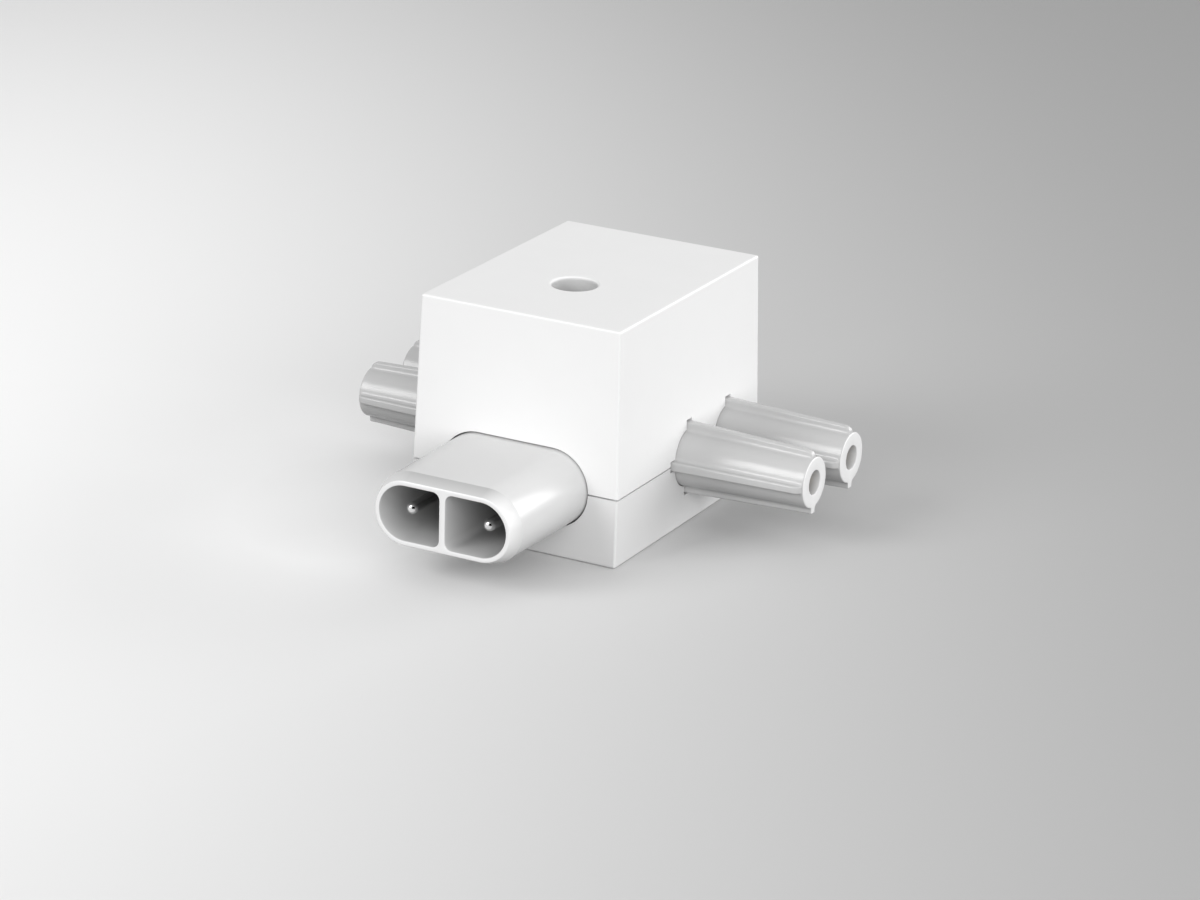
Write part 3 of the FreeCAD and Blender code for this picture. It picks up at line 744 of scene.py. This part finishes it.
@dataclass
class SocketProng:
    """A hollow, tapered prong with four ribs, drawn along Z with the casing's wall at zero.

    The rib underneath runs to the tip's edge, and the other three round off before it.
    """

    side: Side
    row: Row
    length: float = 18.1 * MM
    root_radius: float = 3.87 * MM
    tip_radius: float = 3.4 * MM
    rib_root: float = 4.88 * MM
    rib_tip: float = 4.25 * MM
    rib_half_width: float = 0.65 * MM
    rib_tip_share: float = 0.875
    ribs: int = 4
    crest_radius: float = 0.3 * MM
    foot_radius: float = 0.45 * MM
    foot_room: float = 1.2
    edge_radius: float = 0.2 * MM
    rib_end_length: float = 0.9 * MM
    mouth_radius: float = 1.62 * MM
    mouth_length: float = 2.0 * MM
    mouth_edge: float = 0.1 * MM
    chamber_radius: float = 2.2 * MM
    flange_face: float = -2.04 * MM
    flange_back: float = -3.44 * MM
    flange_radius: float = 5.33 * MM
    neck_radius: float = 3.0 * MM
    back: float = -4.94 * MM
    segments: int = 96
    corner_steps: int = 4
    edge_steps: int = 4
    rib_end_steps: int = 6

    def outline(self) -> BMesh:
        """The section at the casing's wall: a circle whose points near each rib are moved out to it.

        Returns:
            A mesh with one flat face.
        """
        mesh = bmesh.new()
        bmesh.ops.create_circle(mesh, cap_ends=True, segments=self.segments, radius=self.root_radius)
        quarter = self.segments // self.ribs
        crest_step, foot_step = 1, 2
        foot_angle = math.asin(self.rib_half_width / self.root_radius)
        foot_reach = self.foot_room * self.foot_radius / self.root_radius
        arc = QUARTER_TURN - 2 * foot_angle - 2 * foot_reach
        arc_step = arc / (quarter - 2 * (foot_step + 1))
        crests, feet = [], []
        for point in mesh.verts:
            turn = round(math.atan2(point.co.y, point.co.x) / (2 * math.pi) * self.segments)
            rib = round(turn / quarter)
            step = turn - rib * quarter
            if abs(step) <= crest_step:
                flat = Vector((self.rib_root, step * self.rib_half_width, 0))
            else:
                arc_steps = abs(step) - foot_step - 1
                past = foot_reach + arc_steps * arc_step if arc_steps >= 0 else 0.0
                angle = math.copysign(foot_angle + past, step)
                flat = Vector((math.cos(angle), math.sin(angle), 0)) * self.root_radius
            point.co = Matrix.Rotation(rib * QUARTER_TURN, 3, "Z") @ flat
            if abs(step) == crest_step:
                crests.append(point)
            if abs(step) == foot_step:
                feet.append(point)
        rounded(mesh, crests, self.crest_radius, self.corner_steps)
        feet = [point for point in feet if point.is_valid]
        rounded(mesh, feet, self.foot_radius, self.corner_steps)
        return mesh

    def at_tip(self, point: Vector) -> Vector:
        """Where a point of the section at the wall goes near the tip, before the ribs round off.

        Args:
            point: The point at the wall.

        Returns:
            The point near the tip.
        """
        angle = math.atan2(point.y, point.x)
        radius = math.hypot(point.x, point.y)
        rib_angle = round(angle / QUARTER_TURN) * QUARTER_TURN
        offset = angle - rib_angle
        offset *= self.rib_tip_share + (1 - self.rib_tip_share) * abs(offset) / (QUARTER_TURN / 2)
        over = (radius - self.root_radius) / (self.rib_root - self.root_radius)
        radius = self.tip_radius + max(over, 0) * (self.rib_tip - self.tip_radius)
        turned = rib_angle + offset
        z = self.length - self.edge_radius - self.rib_end_length
        return Vector((radius * math.cos(turned), radius * math.sin(turned), z))

    def lower_ribs(self, share: float, z: float) -> Move:
        """A move that makes the ribs lower, but for the one underneath.

        Args:
            share: The share of their height that stays.
            z: The new height.

        Returns:
            The move.
        """
        def move(point: Vector) -> Vector:
            """One point's new place."""
            kept = share if point.x * self.side.value < abs(point.y) else 1.0
            return on_circle(self.tip_radius + (point.xy.length - self.tip_radius) * kept, z)(point)
        return move

    def rounded_rib_ends(self, mesh: BMesh, line: Line) -> Line:
        """Leads the outside to the tip, where three of the ribs round off.

        Args:
            mesh: The mesh.
            line: The edges where the ribs start to round off.

        Returns:
            The edges where the tip's own rounding starts.
        """
        start = self.length - self.edge_radius - self.rib_end_length
        before = 1.0
        for turn in turns(self.rib_end_steps)[1:]:
            z = start + self.rib_end_length * math.sin(turn)
            line = extruded(mesh, line, self.lower_ribs(math.cos(turn) / before, z))
            before = math.cos(turn)
        return line

    def rounded_tip(self, mesh: BMesh, line: Line) -> Line:
        """Leads the outside over a rounding to the flat end.

        Args:
            mesh: The mesh.
            line: The edges where the rounding starts.

        Returns:
            The edges on the end's face.
        """
        start = self.length - self.edge_radius
        done = 0.0
        for turn in turns(self.edge_steps)[1:]:
            inwards = self.edge_radius * (1 - math.cos(turn))
            z = start + self.edge_radius * math.sin(turn)
            line = extruded(mesh, line, shrinking(line, inwards - done, z))
            done = inwards
        return line

    def rounded_mouth(self, mesh: BMesh, line: Line) -> Line:
        """Leads the flat end over a rounding into the mouth.

        Args:
            mesh: The mesh.
            line: The edges on the end's face.

        Returns:
            The edges where the mouth's wall starts.
        """
        moves = []
        for turn in turns(self.edge_steps):
            radius = self.mouth_radius + self.mouth_edge * (1 - math.sin(turn))
            depth = self.mouth_edge * (1 - math.cos(turn))
            moves.append(on_circle(radius, self.length - depth))
        return led(mesh, line, moves)

    def mesh(self) -> BMesh:
        """The whole prong with its bore, its flange and its neck.

        Returns:
            The closed mesh, along Z.
        """
        mesh = self.outline()
        wall_line = list(mesh.edges)
        bmesh.ops.delete(mesh, geom=list(mesh.faces), context="FACES_ONLY")
        line = extruded(mesh, wall_line, self.at_tip)
        line = self.rounded_rib_ends(mesh, line)
        line = self.rounded_tip(mesh, line)
        line = self.rounded_mouth(mesh, line)
        mouth_end = self.length - self.mouth_length
        bore = (
            on_circle(self.mouth_radius, mouth_end),
            on_circle(self.chamber_radius, mouth_end),
            on_circle(self.chamber_radius, self.back),
        )
        flange_and_neck = (
            lambda point: Vector((point.x, point.y, self.flange_face)),
            on_circle(self.flange_radius, self.flange_face),
            on_circle(self.flange_radius, self.flange_back),
            on_circle(self.neck_radius, self.flange_back),
            on_circle(self.neck_radius, self.back),
        )
        ends = led(mesh, line, bore) + led(mesh, wall_line, flange_and_neck)
        bmesh.ops.bridge_loops(mesh, edges=ends)
        closed(mesh)
        # Painted shade on the prong's sides stays off the tip's face
        rim = self.length - self.mouth_edge - CLOSE
        stored(mesh, UNSHADED_RIM, lambda point: float(point.z > rim))
        # Painted shade inside the mouth grows with this depth
        stored(mesh, DEPTH_INSIDE, self.depth_inside)
        return mesh

    def depth_inside(self, point: Vector) -> float:
        """How deep a point lies inside the mouth.

        Args:
            point: The point.

        Returns:
            0 on the outside and at the tip, 1 where the mouth ends and beyond.
        """
        if point.xy.length > self.chamber_radius + CLOSE:
            return 0.0
        return min(max(self.length - point.z, 0) / self.mouth_length, 1.0)

    def build(self) -> None:
        """Makes the prong in its place and lets it stand for its node."""
        mesh = self.mesh()
        turn = Matrix.Rotation(self.side.value * QUARTER_TURN, 4, "Y")
        shift = Matrix.Translation((self.side.value * HALF_WIDTH, self.row.value * MM, SEAM))
        bmesh.ops.transform(mesh, matrix=shift @ turn, verts=mesh.verts)
        place = place_of(self.row, self.side)
        piece = piece_from(mesh, f"ribbed_prong_{place}", PRONG_WHITE)
        stand_in(piece, f"prong_{place}")


@dataclass
class InletShroud:
    """The plug inlet's shroud, drawn with its depth along Z and the casing's wall at zero."""

    length: float = 18.2 * MM
    half_width: float = 10.55 * MM
    half_height: float = 5.1 * MM
    nose_length: float = 2.0 * MM
    nose_narrowing: float = 0.141 * MM
    rim_narrowing: float = 0.861 * MM
    wall: float = 0.6 * MM
    divider: float = 0.86 * MM
    corner_radius: float = 1.0 * MM
    depth: float = 19.5 * MM
    floor_inset: float = 0.17 * MM
    hole_radius: float = 1.08 * MM
    pin_x: float = 5.55 * MM
    flange_face: float = -2.07 * MM
    flange_back: float = -3.47 * MM
    flange_step: float = 1.4 * MM
    neck_step: float = 1.5 * MM
    back: float = -4.97 * MM
    rim_edge: float = 0.13 * MM
    rim_steps: int = 3
    round_steps: int = 20
    corner_steps: int = 6
    flat_cuts: int = 9
    nose_crease: float = 16.0
    worn_reach: float = 3.0 * MM

    @property
    def arc_x(self) -> float:
        """Where the centre of the round end lies."""
        return self.half_width - self.half_height

    @property
    def compartment_left(self) -> float:
        """Where the divider's face lies."""
        return self.divider / 2

    def grown(self, change: float, z: float) -> Move:
        """A move that grows the half outline all round and puts it at a depth.

        Args:
            change: How far each point goes outwards.
            z: The new depth.

        Returns:
            The move.
        """
        def move(point: Vector) -> Vector:
            """One point's new place."""
            out = Vector((max(point.x - self.arc_x, 0), point.y, 0)).normalized()
            return Vector((point.x + out.x * change, point.y + out.y * change, z))
        return move

    def compartment(self) -> BMesh:
        """The right compartment's outline at the rim.

        Returns:
            A mesh with one flat face.
        """
        mesh = sheet(1.0)
        half_height = self.half_height - self.rim_narrowing - self.wall
        right = self.arc_x + half_height
        width = right - self.compartment_left
        centre = (right + self.compartment_left) / 2
        bmesh.ops.scale(mesh, vec=(width, 2 * half_height, 1), verts=mesh.verts)
        bmesh.ops.translate(mesh, vec=(centre, 0, self.length), verts=mesh.verts)
        outer = [point for point in mesh.verts if point.co.x > centre]
        inner = [point for point in mesh.verts if point.co.x < centre]
        rounded(mesh, outer, half_height, self.round_steps)
        inner = [point for point in inner if point.is_valid]
        rounded(mesh, inner, self.corner_radius, self.corner_steps)
        merged(mesh)
        flats = [edge for edge in mesh.edges if edge.calc_length() > self.corner_radius]
        bmesh.ops.subdivide_edges(mesh, edges=flats, cuts=self.flat_cuts)
        return mesh

    def rim_partner(self, point: Vector) -> Vector:
        """Where the rim's outside, or the middle of its divider, faces a point of the compartment.

        Args:
            point: A point on the compartment's outline.

        Returns:
            The point across the rim.
        """
        if point.x > self.arc_x - CLOSE:
            return self.grown(self.wall, self.length)(point)
        half_height = self.half_height - self.rim_narrowing
        sign = math.copysign(1, point.y)
        arc_start = self.compartment_left + self.corner_radius
        if point.x > arc_start - CLOSE:
            return Vector((point.x, sign * half_height, self.length))
        arc_top = half_height - self.wall - self.corner_radius
        if abs(point.y) < arc_top + CLOSE:
            return Vector((0, point.y, self.length))
        turn = math.atan2(arc_start - point.x, abs(point.y) - arc_top) / (QUARTER_TURN / 2)
        if turn <= 1:
            return Vector((arc_start * (1 - turn), sign * half_height, self.length))
        y = half_height + (arc_top - half_height) * (turn - 1)
        return Vector((0, sign * y, self.length))

    def inset_floor(self, point: Vector) -> Vector:
        """Where a point of the compartment's rim goes at its floor, set in by the draft.

        Args:
            point: The point at the rim.

        Returns:
            The point at the floor.
        """
        floor = self.length - self.depth
        if point.x > self.arc_x - CLOSE:
            return self.grown(-self.floor_inset, floor)(point)
        past = max(self.compartment_left + self.corner_radius - point.x, 0)
        x = point.x + self.floor_inset * (past / self.corner_radius)
        half_height = self.half_height - self.rim_narrowing - self.wall
        return Vector((x, point.y * (1 - self.floor_inset / half_height), floor))

    def depth_inside(self, point: Vector) -> float:
        """How deep a point of the compartment lies: 0 at the rim, 1 at its floor and beyond."""
        return min(max(self.length - point.z, 0) / self.depth, 1.0)

    def worn(self, middle: Vector, corner: Vector) -> float:
        """How much painted shade a face of the shroud's nose gets.

        Args:
            middle: The middle of the face.
            corner: One of its corners.

        Returns:
            1 on the flats of the nose's outside, falling to 0 round its ends, and 0 elsewhere.
        """
        if not self.length - self.nose_length < middle.z < self.length - self.rim_edge:
            return 0.0
        past = (abs(corner.x) - self.arc_x) / self.worn_reach
        return min(max(1 - past, 0), 1)

    def mesh(self) -> BMesh:
        """The whole shroud: its right half from loops of edges, then mirrored.

        Returns:
            The closed mesh, with its depth along Z.
        """
        mesh = self.compartment()
        rim_line = list(mesh.edges)
        bmesh.ops.delete(mesh, geom=list(mesh.faces), context="FACES_ONLY")
        hole_start = on_circle(self.hole_radius, self.length - self.depth, self.pin_x)
        hole_end = on_circle(self.hole_radius, self.back, self.pin_x)
        led(mesh, rim_line, (self.inset_floor, hole_start, hole_end))
        # Painted shade inside the compartments grows with this depth
        stored(mesh, DEPTH_INSIDE, self.depth_inside)
        line = extruded(mesh, rim_line, self.rim_partner)
        line = [edge for edge in line if max(point.co.x for point in edge.verts) > CLOSE]
        nose_start = self.length - self.nose_length
        outside = (
            self.grown(self.rim_narrowing - self.nose_narrowing, nose_start),
            self.grown(self.nose_narrowing, 0),
            self.grown(0, self.flange_face),
            self.grown(self.flange_step, self.flange_face),
            self.grown(0, self.flange_back),
            self.grown(-self.flange_step - self.neck_step, self.flange_back),
            self.grown(0, self.back),
        )
        led(mesh, line, outside)
        merged(mesh)
        geometry = list(mesh.verts) + list(mesh.edges) + list(mesh.faces)
        bmesh.ops.mirror(mesh, geom=geometry, axis="X", merge_dist=CLOSE)
        merged(mesh)
        rims = [edge for edge in mesh.edges if edge.is_boundary]
        bmesh.ops.triangle_fill(mesh, use_beauty=True, edges=rims)
        closed(mesh)
        rim = [
            edge for edge in mesh.edges
            if all(abs(point.co.z - self.length) < CLOSE for point in edge.verts)
            and edge.calc_face_angle(0.0) > CLEAR_FOLD
        ]
        rounded(mesh, rim, self.rim_edge, self.rim_steps)
        # Painted shade on the shroud's sides stays off the rim
        stored(mesh, UNSHADED_RIM, lambda point: float(point.z > self.length - self.rim_edge - CLOSE))
        # Painted shade on the flats of the shroud's nose
        stored_at_corners(mesh, SHADED_NOSE, self.worn)
        return mesh

    def build(self) -> None:
        """Makes the shroud in its place and lets it stand for its node."""
        mesh = self.mesh()
        turn = Matrix.Rotation(QUARTER_TURN, 4, "X")
        shift = Matrix.Translation((0, FRONT, SEAM))
        bmesh.ops.transform(mesh, matrix=shift @ turn, verts=mesh.verts)
        piece = piece_from(mesh, "two_pole_shroud", INLET_WHITE, self.nose_crease)
        stand_in(piece, "inlet_shroud")


@dataclass
class CarriedNodes:
    """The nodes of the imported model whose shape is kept, with the finish that each gets."""

    pins: tuple[str, ...] = ("inlet_pin_left", "inlet_pin_right")
    brass: tuple[str, ...] = ("busbar_front", "busbar_rear", "busbar_rivets")

    def finishes(self) -> dict[str, Finish]:
        """Chooses the finishes.

        Returns:
            The finish of each node by the node's name.
        """
        found: dict[str, Finish] = {"upper_casing": COVER_WHITE, "lower_casing": TRAY_WHITE}
        found |= {name: PIN_PLATING for name in self.pins}
        found |= {name: CONTACT_BRASS for name in self.brass}
        found |= {"insulating_plate": PLATE_FIBRE, "casing_screws": SCREW_STEEL}
        for row in Row:
            for side in Side:
                found[f"socket_contact_{place_of(row, side)}"] = CONTACT_BRASS
                found[f"spring_ring_{place_of(row, side)}"] = SPRING_STEEL
        return found

    def dress(self) -> None:
        """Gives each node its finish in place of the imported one."""
        for name, finish in self.finishes().items():
            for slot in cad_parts[name].material_slots:
                slot.material = material_of(finish)
            log.info("node %s: %s", name, finish.name)


# Studio


def away(azimuth: float, elevation: float) -> Vector:
    """The direction from the part to something round it.

    Args:
        azimuth: Its angle in degrees from the front, growing towards the right.
        elevation: Its angle in degrees above the floor.

    Returns:
        The direction, of length 1.
    """
    around, above = math.radians(azimuth), math.radians(elevation)
    flat = math.cos(above)
    return Vector((math.sin(around) * flat, -math.cos(around) * flat, math.sin(above)))


@dataclass(frozen=True)
class FloorFinish:
    """A studio floor with a long painted pool of light on the left, and a small one left of the shroud.

    The small pool is painted light that keeps the part's shadow there as light as in the photograph, and
    throws no light back.
    """

    name: str = "studio_floor"
    pale: float = 0.985
    dim: float = 0.32
    bounce: float = 0.3
    pool_centre: Triple = (-0.129, -0.011, 0.0)
    pool_turn: float = 0.49
    pool_reach: Triple = (0.144, 0.372, 1.0)
    # A small pool of painted light over the part's shadow left of the shroud
    near_light_gain: float = 0.36
    near_centre: Triple = (-0.021, -0.015, 0.0)
    near_turn: float = 0.269
    near_reach: Triple = (0.023, 0.031, 1.0)
    roughness: float = 0.85
    ior: float = 1.3
    fibre_size: float = 0.4 * MM
    fibre_depth: float = 0.002 * MM
    fibre_spread: float = 0.1

    def paint(self, graph: Graph) -> None:
        """Builds the shader.

        Args:
            graph: The material's empty node tree.
        """
        # A long pool of painted light
        pool = self._painted_pool(graph, self.pool_centre, self.pool_turn, self.pool_reach)
        # A small pool of painted light that lightens the part's shadow, seen only straight and in
        # mirrors
        near = self._painted_pool(graph, self.near_centre, self.near_turn, self.near_reach)
        fibres = graph.noise(self.fibre_size, detail=3.0)
        seen = graph.seen()
        shade = seen * (1 - self.bounce) + self.bounce
        tone = (self.dim + pool * (self.pale - self.dim)) * shade + near * self.near_light_gain * seen
        graph.surface(
            {
                "Base Color": graph.mix(graph.maths("MINIMUM", tone, self.pale), BLACK, WHITE),
                "Roughness": self.roughness + fibres.spread(self.fibre_spread),
                "IOR": self.ior,
                "Normal": graph.bump(fibres * self.fibre_depth),
            }
        )

    @staticmethod
    def _painted_pool(graph: Graph, centre: Triple, turn: float, reach: Triple) -> Value:
        """An oval pool of painted light on the floor, with a soft edge.

        Args:
            graph: The material's node tree.
            centre: Its middle.
            turn: How far its axes are turned, in radians.
            reach: Its half widths.

        Returns:
            1 in the middle of the patch, falling to 0 far from it.
        """
        point = graph.measured_from(centre, turn, reach)
        both = {0: point, 1: point}
        square = graph.add("ShaderNodeVectorMath", {"operation": "DOT_PRODUCT"}, both, "Value")
        return graph.maths("EXPONENT", 0.0 - square)


@dataclass(frozen=True)
class CardFinish:
    """Black velvet."""

    name: str = "black_card"
    colour: Colour = (0.01, 0.01, 0.01)
    nap_size: float = 1.0 * MM

    def paint(self, graph: Graph) -> None:
        """Builds the shader.

        Args:
            graph: The material's empty node tree.
        """
        nap = graph.mix(graph.noise(self.nap_size), self.colour, BLACK)
        graph.surface({"Base Color": nap, "Roughness": 1.0, "IOR": 1.0})


@dataclass
class Softbox:
    """A square area lamp that faces the part, seen in shiny surfaces or kept out of them."""

    name: str
    azimuth: float
    elevation: float
    power: float
    mirrored: bool = True
    size: float = 0.8
    distance: float = 1.2
    aim_height: float = 15 * MM

    def build(self) -> None:
        """Makes the lamp."""
        lamp = bpy.data.lights.new(self.name, "AREA")
        lamp.shape = "SQUARE"
        lamp.size = self.size
        lamp.energy = self.power
        body = added(self.name, lamp)
        out = away(self.azimuth, self.elevation)
        body.rotation_euler = out.to_track_quat("Z", "Y").to_euler()
        body.location = out * self.distance + Vector((0, 0, self.aim_height))
        body.visible_glossy = self.mirrored


@dataclass
class Studio:
    """The floor, the lamps and the backdrop."""

    floor_size: float = 6.0
    floor_gap: float = 0.02 * MM
    card_size: float = 1.0
    card_distance: float = 0.8
    card_azimuth: float = 40.0
    card_elevation: float = 12.0
    backdrop: float = 0.85
    ambient: float = 0.45
    lamps: tuple[Softbox, ...] = (
        Softbox("left_softbox", azimuth=-30, elevation=32, power=5.6, size=0.52),
        Softbox("front_softbox", azimuth=30, elevation=18, power=7.4, mirrored=False),
        Softbox("right_softbox", azimuth=70, elevation=18, power=4.4, mirrored=False),
        Softbox("rear_softbox", azimuth=120, elevation=18, power=3.9),
        Softbox("edge_strip", azimuth=150, elevation=20, power=4.2, size=0.6),
    )

    def floor(self) -> None:
        """Makes the floor."""
        mesh = sheet(self.floor_size)
        bmesh.ops.translate(mesh, vec=(0, 0, -self.floor_gap), verts=mesh.verts)
        object_from(mesh, "studio_floor", FloorFinish())

    def world(self) -> None:
        """Makes the light all round and the backdrop that is seen and mirrored."""
        world = bpy.data.worlds.new("studio")
        bpy.context.scene.world = world
        graph = Graph(world)
        strength = self.ambient + graph.seen() * (self.backdrop - self.ambient)
        inputs = {"Color": (*WHITE, 1.0), "Strength": strength}
        shown = graph.add("ShaderNodeBackground", inputs=inputs)
        graph.add("ShaderNodeOutputWorld", inputs={"Surface": shown})

    def card(self) -> None:
        """Makes a black card behind the camera, which shows only as a dark spot in shiny surfaces."""
        mesh = sheet(self.card_size)
        out = away(self.card_azimuth, self.card_elevation)
        turn = out.to_track_quat("Z", "Y").to_matrix().to_4x4()
        shift = Matrix.Translation(out * self.card_distance)
        bmesh.ops.transform(mesh, matrix=shift @ turn, verts=mesh.verts)
        card = object_from(mesh, "black_card", CardFinish())
        card.visible_camera = False
        card.visible_diffuse = False
        card.visible_shadow = False

    def build(self) -> None:
        """Makes the whole studio."""
        self.floor()
        self.card()
        self.world()
        for lamp in self.lamps:
            lamp.build()


@dataclass
class Viewpoint:
    """The camera, at the photograph's viewing angle."""

    azimuth: float = 27.724
    elevation: float = 19.827
    roll: float = 1.717
    distance: float = 0.5608575
    lens: float = 128.49
    sensor: float = 36.0
    nearest: float = 0.01
    farthest: float = 20.0
    aim: Triple = (2.66053 * MM, -1.65632 * MM, 8.25076 * MM)

    def build(self) -> None:
        """Makes the camera and the scene's view settings."""
        roll = math.radians(self.roll)
        back = away(self.azimuth, self.elevation)
        right = (-back).cross(Vector((0, 0, 1))).normalized()
        up = right.cross(-back)
        turned_right = right * math.cos(roll) + up * math.sin(roll)
        turned_up = up * math.cos(roll) - right * math.sin(roll)
        data = bpy.data.cameras.new("photo_view")
        data.lens = self.lens
        data.sensor_width = self.sensor
        data.clip_start = self.nearest
        data.clip_end = self.farthest
        camera = added("photo_view", data)
        axes = Matrix((turned_right, turned_up, back)).transposed()
        shift = Matrix.Translation(Vector(self.aim) + back * self.distance)
        camera.matrix_world = shift @ axes.to_4x4()
        bpy.context.scene.camera = camera
        bpy.context.scene.view_settings.view_transform = "Standard"


def main() -> None:
    """Builds the part's looks, the studio and the camera."""
    logging.basicConfig(level=logging.INFO, format="%(name)s: %(message)s")
    CarriedNodes().dress()
    InletShroud().build()
    for row in Row:
        for side in Side:
            SocketProng(side, row).build()
    Studio().build()
    Viewpoint().build()


if __name__ == "__main__":
    main()
